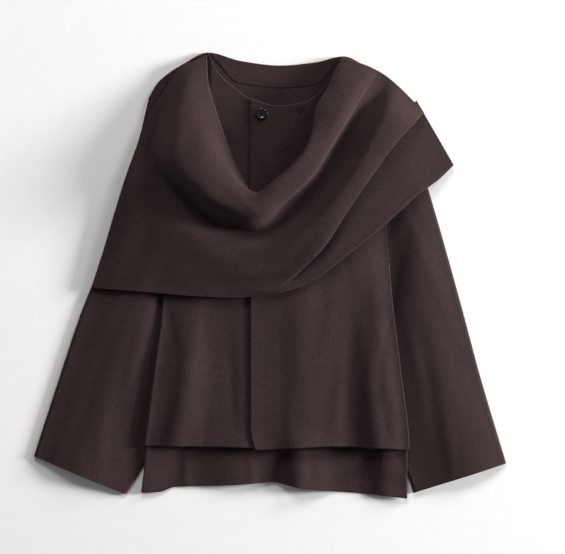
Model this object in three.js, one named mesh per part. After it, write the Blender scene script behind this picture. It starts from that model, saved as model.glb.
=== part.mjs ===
// Short jacket in felted wool with an asymmetric draped scarf, laid flat with its back on the floor.
// Millimetres. +Y points to the neck, +X to the wearer's left sleeve and +Z up. The floor is z = 0.
import * as THREE from "three";

// Cloth and seams
const CLOTH = 2.4; // wall of the double-faced wool
const FACING = 1.6; // wall of the neck facing
const SEAM = 0.33; // gap between pieces that are sewn edge to edge or lie on each other
const REST = 0.9; // gap between two panels that lie on each other

// Landmarks of the cut
const NECK = { min: -95, max: 113 }; // where the shoulder seams meet the neck
const SHOULDER_Y = 270; // top of both armholes
const UNDERARM_Y = 30; // bottom of both armholes
// Front edge, reach of the lower front below it, and the stretch past it in which the upper one comes down
const LAP = { edge: -30, under: 34, clear: 6, blend: 44 };
const MIDDLE = 8; // centre line of the body
const LAP_CORNER = { from: -233, length: 36, inward: 7.4 }; // curve of the lapping front's edge to its hem
const LAP_HIDDEN = { depth: 2, fade: 20 }; // how far the lower front's neck lies behind the lapping one's
const BACK_INSET = 3; // the back's sides lie this far inside the fronts' sides
const HEM_Y = -300; // height at which the hems' widths are read
const NECK_FACING = { depth: 34, ends: 5, fade: 45, below: 0.5 }; // below: distance to the neck's edge

// Stretches down the garment over which something comes in: the upper end and the length
const STRETCH = {
  backInset: { from: 30, length: 60 },
  overSleeves: { from: 40, length: 85 },
  besideCuffs: { from: -300, length: 40 },
  hemWaves: { from: -225, length: 90 },
  frontLoft: { from: 275, length: 160 },
  frontFolds: { from: 150, length: 300 },
};

// Sides of the body, from the shoulder point down to the hem
const SIDES = [
  { y: 272, min: -188, max: 205 },
  { y: 195, min: -174, max: 189 },
  { y: 117, min: -166, max: 180 },
  { y: 30, min: -161, max: 184 },
  { y: -63, min: -167, max: 192 },
  { y: -146, min: -178, max: 202 },
  { y: -269, min: -194, max: 215 },
  { y: -345, min: -203, max: 215 },
];

// Shoulder seams and back neck
const BACK_TOP = [
  { x: -188, y: 274 },
  { x: -172, y: 300 },
  { x: -136, y: 326 },
  { x: -95, y: 345 },
  { x: -45, y: 332 },
  { x: 16, y: 325 },
  { x: 72, y: 330 },
  { x: 113, y: 339 },
  { x: 153, y: 320 },
  { x: 189, y: 295 },
  { x: 205, y: 270 },
];

// Front neck, between the two shoulder seams
const FRONT_TOP = [
  { x: -95, y: 345 },
  { x: -84, y: 319 },
  { x: -57, y: 292 },
  { x: -25, y: 272 },
  { x: 16, y: 262 },
  { x: 54, y: 269 },
  { x: 84, y: 291 },
  { x: 99, y: 315 },
  { x: 113, y: 339 },
];

const BACK_HEM = [
  { x: -203, y: -336 },
  { x: -167, y: -335 },
  { x: -144, y: -327 },
  { x: -54, y: -324 },
  { x: 3, y: -320 },
  { x: 50, y: -329 },
  { x: 132, y: -336 },
  { x: 212, y: -345 },
];

const FRONT_HEM = [
  { x: -194, y: -263 },
  { x: -30, y: -266 },
  { x: -22, y: -269 },
  { x: 93, y: -264 },
  { x: 215, y: -269 },
];

// How far each sleeve's inner edge lies under the body's side
const UNDERLAP = [
  { y: -20, reach: -1 },
  { y: -45, reach: 0 },
  { y: -85, reach: 13 },
  { y: -130, reach: 28 },
  { y: -180, reach: 37 },
  { y: -225, reach: 36 },
  { y: -262, reach: 26 },
  { y: -295, reach: 10 },
  { y: -318, reach: 0 },
];

// Outer edge of each sleeve, from the shoulder point to the cuff. Its loft leans to the outer edge
// where lean is below 1, and to the body where it is above 1.
const SLEEVES = {
  right_sleeve: {
    side: "min",
    out: -1,
    shift: 17,
    cuff: { x: -223, y: -339 },
    lean: 0.7,
    edge: [
      { y: 272, x: -190 },
      { y: 216, x: -203 },
      { y: 129, x: -232 },
      { y: 32, x: -259 },
      { y: -66, x: -296 },
      { y: -184, x: -335 },
      { y: -280, x: -366 },
    ],
  },
  left_sleeve: {
    side: "max",
    out: 1,
    shift: 0,
    cuff: { x: 222, y: -337 },
    lean: 0.7,
    edge: [
      { y: 270, x: 206 },
      { y: 216, x: 220 },
      { y: 136, x: 245 },
      { y: 46, x: 271 },
      { y: -67, x: 302 },
      { y: -150, x: 324 },
      { y: -291, x: 366 },
    ],
  },
};
const SLEEVE_FOLD = 5.6; // thickness at a sleeve's folded edges
const SLEEVE_LOFT = 13; // how much more it stands along its middle
const SLEEVE_PEAK = 2.2; // power that draws the loft to its middle
const SLEEVE_CROWN = 0.4; // share of the length over which the loft comes in below the armhole
const SLEEVE_TURN = 2.4; // width of the turn along a folded edge
const SLEEVE_SHY = 1; // how much less than the reach a sleeve lies under the body
const SLEEVE_GRID = { rows: 15, across: 11 };

// How the back rises over the sleeves: height, reach beyond their edges, slope above them,
// and the share by which it settles beside the cuffs
const OVER_SLEEVE = { rise: 8.4, blend: 58, slope: 0.17, settle: 0.45 };

// Soft folds that run down the cloth: place across, height and half width
const BACK_WAVES = [
  { x: -52, height: 8, width: 44 },
  { x: 40, height: 13, width: 20 },
  { x: 70, height: 8, width: 22 },
  { x: 178, height: 6, width: 20 },
];
const FRONT_FOLDS = [
  { x: -145, height: 4, width: 26 },
  { x: -78, height: -4, width: 26 },
  { x: -8, height: -3, width: 24 },
  { x: 62, height: 5, width: 32 },
  { x: 126, height: -5, width: 18 },
  { x: 160, height: 5, width: 18 },
];
const FRONT_RIM = { height: 3.5, inside: 22, width: 13 }; // ridge along the left front's side

// How the fronts stand off the back: height, distances over which it comes in from the side and
// shoulder seams, how much higher a seam the loose neck edge acts as, and its share near the shoulders
const FRONT_LOFT = { height: 12, sides: 60, shoulders: 70, neck: 60, share: 0.5 };

// Cross-sections of the scarf, from its edge on the right shoulder round to the left shoulder.
// inner: raw inner edge, brim, crest, flank and foot: the cowl roll from its inner to its outer side,
// valley: the trough outside it, roll: the second roll, pleat: fold of the pleat, hem: outer edge,
// tuck: depth of the pleat.
const SCARF = [
  { inner: [-98, 340, 9], brim: [-119, 331, 11], crest: [-138, 322, 12], flank: [-158, 294, 11],
    foot: [-169, 278, 10], valley: [-180, 262, 9], roll: [-219, 164, 13], pleat: [-257, 40, 12],
    hem: [-276, -19, 10], tuck: 0 },
  { inner: [-95, 297, 16], brim: [-129, 277, 29], crest: [-159, 210, 37], flank: [-167, 202, 33],
    foot: [-174, 195, 24], valley: [-183, 188, 15], roll: [-204, 150, 21], pleat: [-222, 20, 20],
    hem: [-223, -23, 19.5], tuck: 0 },
  { inner: [-85, 261, 19], brim: [-115, 233, 39], crest: [-146, 176, 51], flank: [-152, 167, 45],
    foot: [-158, 158, 31], valley: [-165, 149, 18.5], roll: [-186, 112, 25], pleat: [-176, 0, 23],
    hem: [-170, -27, 21], tuck: 0 },
  { inner: [-71, 218, 21], brim: [-97, 203, 47], crest: [-116, 144, 60], flank: [-119, 134, 54],
    foot: [-122, 124, 38], valley: [-127, 112, 19.5], roll: [-142, 76, 31], pleat: [-118, -10, 27],
    hem: [-108, -32, 23.5], tuck: 0 },
  { inner: [-53, 171, 22], brim: [-66, 160, 53], crest: [-80, 115, 65], flank: [-83, 105, 58],
    foot: [-86, 95, 41], valley: [-89, 84, 22], roll: [-92, 45, 36], pleat: [-56, -16, 30],
    hem: [-42, -33, 25.5], tuck: 0 },
  { inner: [-14, 110, 24], brim: [-22, 126, 60], crest: [-19, 106, 64], flank: [-18, 91, 58],
    foot: [-17, 78, 38], valley: [-17, 67, 25.5], roll: [-14, 40, 39], pleat: [10, -10, 31.5],
    hem: [20, -24, 28.5], tuck: 0 },
  { inner: [22, 128, 24], brim: [8, 145, 64], crest: [17, 131, 63], flank: [22, 118, 53],
    foot: [26, 111, 33], valley: [38, 94, 25.5], roll: [56, 70, 46], pleat: [72, 32, 42],
    hem: [68, -6, 30.5], tuck: 8 },
  { inner: [60, 160, 24], brim: [44, 178, 64], crest: [56, 167, 61], flank: [65, 158, 53],
    foot: [69, 154, 34], valley: [82, 140, 24.5], roll: [103, 120, 49], pleat: [121, 103, 45],
    hem: [134, 43, 30.5], tuck: 20 },
  { inner: [86, 198, 24], brim: [63, 212, 60], crest: [80, 203, 60], flank: [90, 197, 52],
    foot: [94, 194, 32], valley: [109, 183, 22.5], roll: [136, 167, 48], pleat: [157, 155, 45],
    hem: [187, 87, 26.5], tuck: 26 },
  { inner: [100, 247, 21], brim: [73, 260, 43], crest: [106, 248, 56], flank: [118, 243, 47],
    foot: [122, 241, 29], valley: [138, 234, 20.5], roll: [165, 221, 44], pleat: [194, 205, 41],
    hem: [230, 126, 20], tuck: 26 },
  { inner: [112, 287, 15], brim: [88, 286, 31], crest: [124, 277, 45], flank: [136, 273, 38],
    foot: [140, 271.5, 25], valley: [160, 265, 18], roll: [182, 256, 36], pleat: [219, 232, 32],
    hem: [260, 148, 13], tuck: 24 },
  { inner: [120, 333, 8], brim: [111, 337, 11], crest: [150, 324, 17], flank: [163, 318, 15],
    foot: [169, 315, 12.5], valley: [180, 308, 11], roll: [201, 290, 13], pleat: [237, 253, 15],
    hem: [284, 171, 7], tuck: 20 },
];
const SCARF_LINES = [
  "inner", "brim", "crest", "flank", "foot", "valley", "roll", "pleat", "turned", "tucked", "shelf", "hem",
];
const SCARF_STEPS = [3, 2, 2, 2, 2, 3, 3, 1, 3, 2, 2]; // steps between neighbouring lines
const SCARF_ROWS = 40;
// The pleat below its fold: how it turns under, how far the hidden fold lies below the hem, and at which
// share of the way to the hem the lower layer comes out and how far it lies below the hem there.
// flat: the shares of the way at which the same lines lie where there is no pleat.
const PLEAT = {
  turnIn: 2.5, turnDown: 5, tuckedBelow: 4, shelfAt: 0.35, shelfBelow: 1.5,
  flat: { turned: 0.25, tucked: 0.5, shelf: 0.75 },
};

const BUTTON = { x: -13, y: 250, sides: 28 };
const BUTTON_PROFILE = [
  { radius: 0, z: 0 },
  { radius: 7.5, z: 0 },
  { radius: 8.8, z: 1.04 },
  { radius: 8.8, z: 2.82 },
  { radius: 7.5, z: 3.6 },
  { radius: 5.6, z: 2.7 },
  { radius: 0, z: 2.4 },
];

const WOOL = { color: 0x3d2e2e, roughness: 0.95, metalness: 0 };
const HORN = { color: 0x15110f, roughness: 0.25, metalness: 0 };

const { lerp, clamp } = THREE.MathUtils;
const ramp = (x) => THREE.MathUtils.smoothstep(x, 0, 1);
const down = (y, { from, length }) => ramp((from - y) / length);
const foldsAt = (folds, x) =>
  folds.reduce((sum, fold) => sum + fold.height * Math.exp(-(((x - fold.x) / fold.width) ** 2)), 0);

// A smooth curve through a table's rows, read as `to` over `from`, and level past its ends.
function through(rows, from, to) {
  const sorted = [...rows].sort((a, b) => a[from] - b[from]);
  const xs = sorted.map((row) => row[from]);
  const ys = sorted.map((row) => row[to]);
  const slope = (i) => (ys[i + 1] - ys[i]) / (xs[i + 1] - xs[i]);
  const last = xs.length - 1;
  const tangents = xs.map((_, i) => {
    if (i === 0) return slope(0);
    if (i === last) return slope(last - 1);
    const before = slope(i - 1);
    const after = slope(i);
    return before * after <= 0 ? 0 : (2 * before * after) / (before + after);
  });
  return (x) => {
    const at = clamp(x, xs[0], xs[last]);
    const i = clamp(xs.findIndex((edge) => edge > at) - 1, 0, last - 1);
    const k = at === xs[last] ? last - 1 : i;
    const step = xs[k + 1] - xs[k];
    const t = (at - xs[k]) / step;
    return (
      ys[k] * (1 + 2 * t) * (1 - t) ** 2 +
      tangents[k] * step * t * (1 - t) ** 2 +
      ys[k + 1] * t * t * (3 - 2 * t) -
      tangents[k + 1] * step * t * t * (1 - t)
    );
  };
}

const side = { min: through(SIDES, "y", "min"), max: through(SIDES, "y", "max") };
const backTop = through(BACK_TOP, "x", "y");
const frontNeck = through(FRONT_TOP, "x", "y");
const backHem = through(BACK_HEM, "x", "y");
const frontHem = through(FRONT_HEM, "x", "y");
const underlap = through(UNDERLAP, "y", "reach");

// How far a point of the body lies inside its nearer side
function inset(x, y) {
  return x < MIDDLE ? x - side.min(y) : side.max(y) - x;
}

// Underside of the back: on the floor, over the sleeves at the sides, and waved at the hem
function backHeight(x, y) {
  const over = underlap(x < MIDDLE ? y - SLEEVES.right_sleeve.shift : y) - inset(x, y);
  const { rise, blend, slope, settle } = OVER_SLEEVE;
  const raised = rise * ramp(1 + over / blend) + slope * Math.max(0, over);
  const settled = 1 - settle * down(y, STRETCH.besideCuffs);
  const waved = foldsAt(BACK_WAVES, x) * down(y, STRETCH.hemWaves);
  return down(y, STRETCH.overSleeves) * settled * raised + waved;
}

// Underside of the lower front layer: on the back at its seams, lofted between them
function frontHeight(x, y) {
  const { height, sides, shoulders, neck, share } = FRONT_LOFT;
  const shoulder = x < NECK.min || x > NECK.max ? backTop(x) : backTop(x) + neck;
  const fromSeams = ramp(inset(x, y) / sides) * ramp((shoulder - y) / shoulders);
  const loft = height * lerp(share, 1, down(y, STRETCH.frontLoft));
  const folded = foldsAt(FRONT_FOLDS, x) * down(y, STRETCH.frontFolds);
  const fromRim = (inset(x, y) - FRONT_RIM.inside) / FRONT_RIM.width;
  const rim = x > MIDDLE ? FRONT_RIM.height * Math.exp(-(fromRim ** 2)) * down(y, STRETCH.frontFolds) : 0;
  return backHeight(x, y) + CLOTH + REST + fromSeams * (loft + folded) + rim;
}

// Underside of the lapping front, which steps over the edge of the front below it
function lapHeight(x, y) {
  const past = ramp((x - LAP.under - LAP.clear) / LAP.blend);
  return frontHeight(x, y) + (CLOTH + REST) * (1 - past);
}

// The closed wall between an upper and a lower grid of points, each an array of rows
function wall(name, upper, lower, look = WOOL) {
  const rows = upper.length;
  const columns = upper[0].length;
  const points = [...upper.flat(), ...lower.flat()];
  const up = (i, j) => i * columns + j;
  const low = (i, j) => (rows + i) * columns + j;
  const faces = [];
  const quad = (a, b, c, d) => faces.push(a, b, c, a, c, d);
  for (let i = 0; i < rows - 1; i++) {
    for (let j = 0; j < columns - 1; j++) {
      quad(up(i, j), up(i + 1, j), up(i + 1, j + 1), up(i, j + 1));
      quad(low(i, j), low(i, j + 1), low(i + 1, j + 1), low(i + 1, j));
    }
    const end = columns - 1;
    quad(up(i, 0), low(i, 0), low(i + 1, 0), up(i + 1, 0));
    quad(up(i, end), up(i + 1, end), low(i + 1, end), low(i, end));
  }
  for (let j = 0; j < columns - 1; j++) {
    const end = rows - 1;
    quad(up(0, j), up(0, j + 1), low(0, j + 1), low(0, j));
    quad(up(end, j), low(end, j), low(end, j + 1), up(end, j + 1));
  }
  return mesh(name, points, faces, look);
}

function mesh(name, points, faces, look) {
  const geometry = new THREE.BufferGeometry().setFromPoints(points);
  geometry.setIndex(faces);
  geometry.computeVertexNormals();
  const made = new THREE.Mesh(geometry, new THREE.MeshStandardMaterial(look));
  made.name = name;
  return made;
}

// A panel between its sides, its top and its hem, whose underside lies at height(x, y)
function panel(name, { from, to, top, hem, stations, rows, height, thick = CLOTH }) {
  const lower = [];
  for (let i = 0; i <= rows; i++) {
    lower.push(
      stations.map((u) => {
        const yTop = top(lerp(from(SHOULDER_Y), to(SHOULDER_Y), u));
        const yHem = hem(lerp(from(HEM_Y), to(HEM_Y), u));
        const y = lerp(yTop, yHem, i / rows);
        const x = lerp(from(y), to(y), u);
        return new THREE.Vector3(x, y, height(x, y));
      }),
    );
  }
  const upper = lower.map((row) => row.map((p) => new THREE.Vector3(p.x, p.y, p.z + thick)));
  return wall(name, upper, lower);
}

// Even stations from 0 to 1 that include the given fractions
function stations(knots, counts) {
  const ends = [0, ...knots, 1];
  const made = counts.flatMap((n, k) =>
    Array.from({ length: n }, (_, i) => lerp(ends[k], ends[k + 1], i / n)),
  );
  return [...made, 1];
}

function makeBack() {
  const from = (y) => side.min(y) + BACK_INSET * down(y, STRETCH.backInset);
  const to = (y) => side.max(y) - BACK_INSET * down(y, STRETCH.backInset);
  const width = to(SHOULDER_Y) - from(SHOULDER_Y);
  const knots = [NECK.min, NECK.max].map((x) => (x - from(SHOULDER_Y)) / width);
  return panel("back_panel", {
    from,
    to,
    top: backTop,
    hem: backHem,
    stations: stations(knots, [8, 12, 8]),
    rows: 22,
    height: backHeight,
  });
}

function makeNeckFacing() {
  const { depth, ends, fade, below } = NECK_FACING;
  return panel("back_neck_facing", {
    from: () => NECK.min + ends,
    to: () => NECK.max - ends,
    top: (x) => backTop(x) - below,
    hem: (x) => backTop(x) - lerp(ends, depth, ramp(Math.min(x - NECK.min, NECK.max - x) / fade)),
    stations: stations([], [14]),
    rows: 3,
    height: (x, y) => backHeight(x, y) + CLOTH + SEAM,
    thick: FACING,
  });
}

function frontTop(x) {
  return x < NECK.min || x > NECK.max ? backTop(x) : frontNeck(x);
}

function makeRightFront() {
  const from = side.min;
  const to = () => LAP.under;
  const knot = (NECK.min - from(SHOULDER_Y)) / (LAP.under - from(SHOULDER_Y));
  return panel("right_front", {
    from,
    to,
    top: (x) => frontTop(x) - LAP_HIDDEN.depth * ramp(1 + (x - LAP.edge) / LAP_HIDDEN.fade),
    hem: frontHem,
    stations: stations([knot], [7, 9]),
    rows: 20,
    height: frontHeight,
  });
}

function makeLeftFront() {
  const { from: corner, length, inward } = LAP_CORNER;
  const from = (y) => LAP.edge + inward * clamp((corner - y) / length, 0, 1) ** 2;
  const to = side.max;
  const knot = (NECK.max - LAP.edge) / (to(SHOULDER_Y) - LAP.edge);
  return panel("left_front", {
    from,
    to,
    top: frontTop,
    hem: frontHem,
    stations: stations([knot], [11, 7]),
    rows: 20,
    height: lapHeight,
  });
}

// A flattened tube, folded along its outer and inner edges and open at the armhole and the cuff
function makeSleeve(name) {
  const { side: which, out, shift, cuff, lean, edge } = SLEEVES[name];
  const { rows, across } = SLEEVE_GRID;
  const outer = through(edge, "y", "x");
  const outerEnds = [edge[0].y, edge[edge.length - 1].y];
  const lastReach = UNDERLAP[UNDERLAP.length - 1].y + shift;
  const bodySide = (y) => side[which](y) + out * SEAM;
  const underBody = (y) => bodySide(y) - out * (Math.max(0, underlap(y - shift)) - SLEEVE_SHY);
  const innerAt = (t) => {
    const y = lerp(UNDERARM_Y, cuff.y, t);
    const free = (lastReach - y) / (lastReach - cuff.y);
    const x = free > 0 ? lerp(underBody(lastReach), cuff.x, free) : underBody(y);
    return new THREE.Vector2(x, y);
  };
  const outerAt = (t) => {
    const y = lerp(outerEnds[0], outerEnds[1], t);
    return new THREE.Vector2(outer(y), y);
  };
  const armhole = (s) => {
    const y = lerp(outerEnds[0], UNDERARM_Y, s);
    return new THREE.Vector2(bodySide(y) + out * SEAM, y);
  };
  const place = (s, t) => {
    const straight = outerAt(t).lerp(innerAt(t), s);
    const seam = armhole(s).sub(outerAt(0).lerp(innerAt(0), s));
    return straight.addScaledVector(seam, (1 - t) ** 2);
  };
  const ring = (t, depth) => {
    const width = outerAt(t).distanceTo(innerAt(t));
    const rim = (depth + SLEEVE_TURN) / width;
    const points = [];
    const add = (s, z) => {
      const p = place(s, t);
      points.push(new THREE.Vector3(p.x, p.y, z));
    };
    const loft = SLEEVE_LOFT * ramp(t / SLEEVE_CROWN);
    const top = (s) => SLEEVE_FOLD + loft * Math.sin(Math.PI * s ** lean) ** SLEEVE_PEAK - depth;
    const inner = depth / width;
    add(inner, SLEEVE_FOLD / 2);
    for (let k = 0; k <= across; k++) {
      add(lerp(rim, 1 - rim, k / across), depth);
    }
    add(1 - inner, SLEEVE_FOLD / 2);
    for (let k = across; k >= 0; k--) {
      const s = lerp(rim, 1 - rim, k / across);
      add(s, top(s));
    }
    return points;
  };
  const outside = [];
  const inside = [];
  for (let i = 0; i <= rows; i++) {
    outside.push(ring(i / rows, 0));
    inside.push(ring(i / rows, CLOTH));
  }
  return tube(name, outside, inside, out > 0);
}

// The closed wall between an outer and an inner stack of rings, open at both ends
function tube(name, outside, inside, turned) {
  const count = outside[0].length;
  const rows = outside.length;
  const points = [...outside.flat(), ...inside.flat()];
  const out = (i, j) => i * count + (j % count);
  const inn = (i, j) => (rows + i) * count + (j % count);
  const faces = [];
  const quad = (a, b, c, d) =>
    turned ? faces.push(a, c, b, a, d, c) : faces.push(a, b, c, a, c, d);
  for (let j = 0; j < count; j++) {
    for (let i = 0; i < rows - 1; i++) {
      quad(out(i, j), out(i, j + 1), out(i + 1, j + 1), out(i + 1, j));
      quad(inn(i, j), inn(i + 1, j), inn(i + 1, j + 1), inn(i, j + 1));
    }
    const end = rows - 1;
    quad(out(0, j), inn(0, j), inn(0, j + 1), out(0, j + 1));
    quad(out(end, j), out(end, j + 1), inn(end, j + 1), inn(end, j));
  }
  return mesh(name, points, faces, WOOL);
}

// The lines of one section of the scarf as points, with the pleat's hidden fold worked out from its depth
function sectionPoints({ tuck, ...lines }) {
  const at = Object.fromEntries(
    Object.entries(lines).map(([line, place]) => [line, new THREE.Vector3(...place)]),
  );
  const { pleat, hem } = at;
  const between = (share) => pleat.clone().lerp(hem, share);
  for (const [line, share] of Object.entries(PLEAT.flat)) {
    at[line] = between(share);
  }
  if (tuck > 0) {
    const inward = pleat.clone().sub(hem).setZ(0).normalize();
    at.turned = pleat.clone().addScaledVector(inward, PLEAT.turnIn).setZ(pleat.z - PLEAT.turnDown);
    at.tucked = pleat.clone().addScaledVector(inward, tuck).setZ(hem.z - PLEAT.tuckedBelow);
    at.shelf = between(PLEAT.shelfAt).setZ(hem.z - PLEAT.shelfBelow);
  }
  return SCARF_LINES.map((line) => at[line]);
}

function makeScarf() {
  const shape = (points) => new THREE.CatmullRomCurve3(points, false, "centripetal");
  const sections = SCARF.map((section) => shape(sectionPoints(section)));
  const spans = SCARF_STEPS.length;
  const across = SCARF_STEPS.flatMap((n, k) => Array.from({ length: n }, (_, i) => (k + i / n) / spans));
  const lengthways = [...across, 1].map((v) => shape(sections.map((curve) => curve.getPoint(v))));
  const middle = lengthways.map((curve) =>
    Array.from({ length: SCARF_ROWS + 1 }, (_, i) => curve.getPoint(i / SCARF_ROWS)),
  );
  const normals = middle.map((row, j) =>
    row.map((_, i) => {
      const inner = middle[Math.max(j - 1, 0)][i];
      const outer = middle[Math.min(j + 1, middle.length - 1)][i];
      const along = row[Math.min(i + 1, SCARF_ROWS)].clone().sub(row[Math.max(i - 1, 0)]);
      return outer.clone().sub(inner).cross(along).normalize();
    }),
  );
  const offset = (distance) =>
    middle.map((row, j) => row.map((p, i) => p.clone().addScaledVector(normals[j][i], distance)));
  return wall("scarf", offset(CLOTH / 2), offset(-CLOTH / 2));
}

// A dished round button on the front's top corner
function makeButton() {
  const { x, y, sides } = BUTTON;
  const profile = BUTTON_PROFILE.map((row) => new THREE.Vector2(row.radius, row.z));
  const radius = Math.max(...BUTTON_PROFILE.map((row) => row.radius));
  const geometry = new THREE.LatheGeometry(profile, sides);
  geometry.rotateX(Math.PI / 2);
  const made = new THREE.Mesh(geometry, new THREE.MeshStandardMaterial(HORN));
  made.name = "button";
  const near = [-1, 0, 1].flatMap((i) =>
    [-1, 0, 1].map((j) => lapHeight(x + i * radius, y + j * radius)),
  );
  made.position.set(x, y, Math.max(...near) + CLOTH + SEAM);
  return made;
}

const jacket = new THREE.Group();
jacket.add(
  makeBack(),
  makeNeckFacing(),
  makeRightFront(),
  makeLeftFront(),
  makeSleeve("right_sleeve"),
  makeSleeve("left_sleeve"),
  makeScarf(),
  makeButton(),
);
export default jacket;
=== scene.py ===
# Looks of a short jacket in felted wool with a draped scarf, laid flat and seen from above.
# Cloth is worked out in millimetres, in the frame's axes, and becomes metres where a mesh is made.
import math

import bpy
import numpy as np
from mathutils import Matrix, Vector
from mathutils.bvhtree import BVHTree


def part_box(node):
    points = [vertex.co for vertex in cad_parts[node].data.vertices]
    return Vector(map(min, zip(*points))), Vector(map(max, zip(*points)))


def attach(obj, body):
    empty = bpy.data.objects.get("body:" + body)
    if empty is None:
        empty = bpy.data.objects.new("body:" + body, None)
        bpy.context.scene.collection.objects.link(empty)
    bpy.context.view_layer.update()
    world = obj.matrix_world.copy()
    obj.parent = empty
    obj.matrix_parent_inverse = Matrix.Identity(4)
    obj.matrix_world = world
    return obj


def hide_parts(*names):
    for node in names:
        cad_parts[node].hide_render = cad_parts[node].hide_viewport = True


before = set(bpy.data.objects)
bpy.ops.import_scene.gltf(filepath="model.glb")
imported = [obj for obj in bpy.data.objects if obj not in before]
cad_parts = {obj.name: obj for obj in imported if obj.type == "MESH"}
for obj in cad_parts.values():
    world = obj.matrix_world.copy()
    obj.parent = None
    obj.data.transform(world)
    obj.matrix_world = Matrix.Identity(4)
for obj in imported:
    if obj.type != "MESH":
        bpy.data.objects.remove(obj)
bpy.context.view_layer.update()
MM = 0.001

# Cloth and seams
CLOTH = 2.4  # thickness
SEAM = 0.33  # gap at the side seams and armholes
REST = 0.9  # gap between the back and the fronts, and between the fronts
EDGE_STEPS = (1.1, 2.6)  # stations beside a raw edge
EDGE_CLEAR = 1.5  # the next station lies at least this many times the last step away
# Share of the half thickness above and below the middle: at the edge, beside it and away from it
EDGE_OVER = (0.6, 1.2, 1.0)
EDGE_UNDER = (0.6, 1.0, 1.0)
EDGE_ROUND = 0.5  # how far a raw edge bulges
EDGE_FRAY_HIGHLIGHT = (1.0, 0.6)  # how much of the paler frayed nap and its painted highlight an edge and the station beside it have
CUFF_FRAY_HIGHLIGHT = (0.5, 0.3)

# Landmarks of the cut
NECK_RIGHT, NECK_LEFT = -95, 113
SHOULDER_Y = 270
UNDERARM_Y = 30
HEM_Y = -300
MIDDLE = 8
BACK_INSET = 3  # how far the back's sides lie inside the fronts'
# lift: gap to the back under it, ends and below: distances to the neck's ends and to its edge, fade: over
# which its lower edge bends up to its ends
NECK_FACING = {"thick": 0.7, "lift": 0.15, "depth": 34, "ends": 5, "fade": 45, "below": 0.5}

# The lapping front's edge, the lower front's edge, and past that a flat and a sloping stretch of the lap
LAP_EDGE, LAP_UNDER, LAP_CLEAR, LAP_BLEND = -30, 34, 6, 44
LAP_CORNER = {"from": -233, "length": 36, "inward": 7.4}  # curve of the lapping front's edge to its hem
LAP_HIDDEN = {"drop": 2, "length": 20}  # how the lower front's neck edge goes under the lap


def table(columns, rows):
    """The rows as one array for each named column."""
    return dict(zip(columns.split(), np.array(rows, float).T))


# Outlines: the body's sides at each height, and its top and hem edges across it
SIDES = table("y right left", [
    (272, -188, 205),
    (195, -174, 189),
    (117, -166, 180),
    (30, -161, 184),
    (-63, -167, 192),
    (-146, -178, 202),
    (-269, -194, 215),
    (-345, -203, 215),
])
BACK_TOP = table("x y", [
    (-188, 274), (-172, 300), (-136, 326), (-95, 345), (-45, 332), (16, 325),
    (72, 330), (113, 339), (153, 320), (189, 295), (205, 270),
])
FRONT_NECK = table("x y", [
    (-95, 345), (-84, 319), (-57, 292), (-25, 272), (16, 262), (54, 269), (84, 291), (99, 315), (113, 339),
])
BACK_HEM = table("x y", [
    (-203, -336), (-167, -335), (-144, -327), (-54, -324), (3, -320), (50, -329), (132, -336), (212, -345),
])
FRONT_HEM = table("x y", [(-194, -263), (-30, -266), (-22, -269), (93, -264), (215, -269)])
# How far a sleeve's inner edge reaches under the body at each height
UNDERLAP = table("y reach", [
    (-20, -1), (-45, 0), (-85, 13), (-130, 28), (-180, 37), (-225, 36), (-262, 26), (-295, 10), (-318, 0),
])
# shift: how much higher the underlap starts, cuff: the cuff's inner corner, lean: below 1, the highest line
# lies nearer the outer edge, edge: the outer edge
SLEEVES = {
    "right_sleeve": {
        "side": "right", "out": -1, "shift": 17, "cuff": (-223, -339), "lean": 0.95,
        "edge": table("y x", [
            (272, -190), (216, -203), (129, -232), (32, -259), (-66, -296), (-184, -335), (-280, -366),
        ]),
    },
    "left_sleeve": {
        "side": "left", "out": 1, "shift": 0, "cuff": (222, -337), "lean": 0.7,
        "edge": table("y x", [
            (270, 206), (216, 220), (136, 245), (46, 271), (-67, 302), (-150, 324), (-291, 366),
        ]),
    },
}
SLEEVE_LENGTH = 560
SLEEVE_FOLD = 5.6  # height of a sleeve at its folded edges
SLEEVE_LOFT = 10  # how much more it stands along its middle
SLEEVE_PEAK = 2  # how narrow that rise is
SLEEVE_CROWN = 0.4  # share of its length over which it rises from the armhole

# Waves of the back's hem and folds of the fronts, each running down the garment
BACK_WAVES = table("x height width", [(-52, 8, 44), (40, 13, 20), (70, 8, 22), (178, 6, 20)])
FRONT_FOLDS = table("x height width", [
    (-150, 2, 26), (-78, -1.5, 26), (-8, -1.5, 24), (62, 3, 32), (128, -2, 20), (165, 2, 18),
])
FRONT_RIM = {"height": 3.5, "inside": 22, "width": 14}  # ridge along the left front's side
# How the fronts stand off the back: height, distances over which it comes in from the side and shoulder
# seams, how much higher a seam the loose neck edge acts as, and its share near the shoulders
LOFT = {"height": 12, "sides": 60, "shoulders": 70, "neck": 60, "share": 0.5}
# How the body lies over the sleeves: its rise, the distance over which it comes in, its slope outward from
# there, and how much of it is lost at the cuffs
OVER_SLEEVE = {"rise": 8.4, "blend": 58, "slope": 0.17, "settle": 0.45}

# Stretches down the garment over which something comes in: the upper end and the length
BACK_INSET_STRETCH = (30, 60)
OVER_SLEEVES_STRETCH = (40, 85)
CUFFS_STRETCH = (-300, 40)
HEM_WAVES_STRETCH = (-225, 90)
LOFT_STRETCH = (275, 160)
FOLDS_STRETCH = (150, 300)

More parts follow.
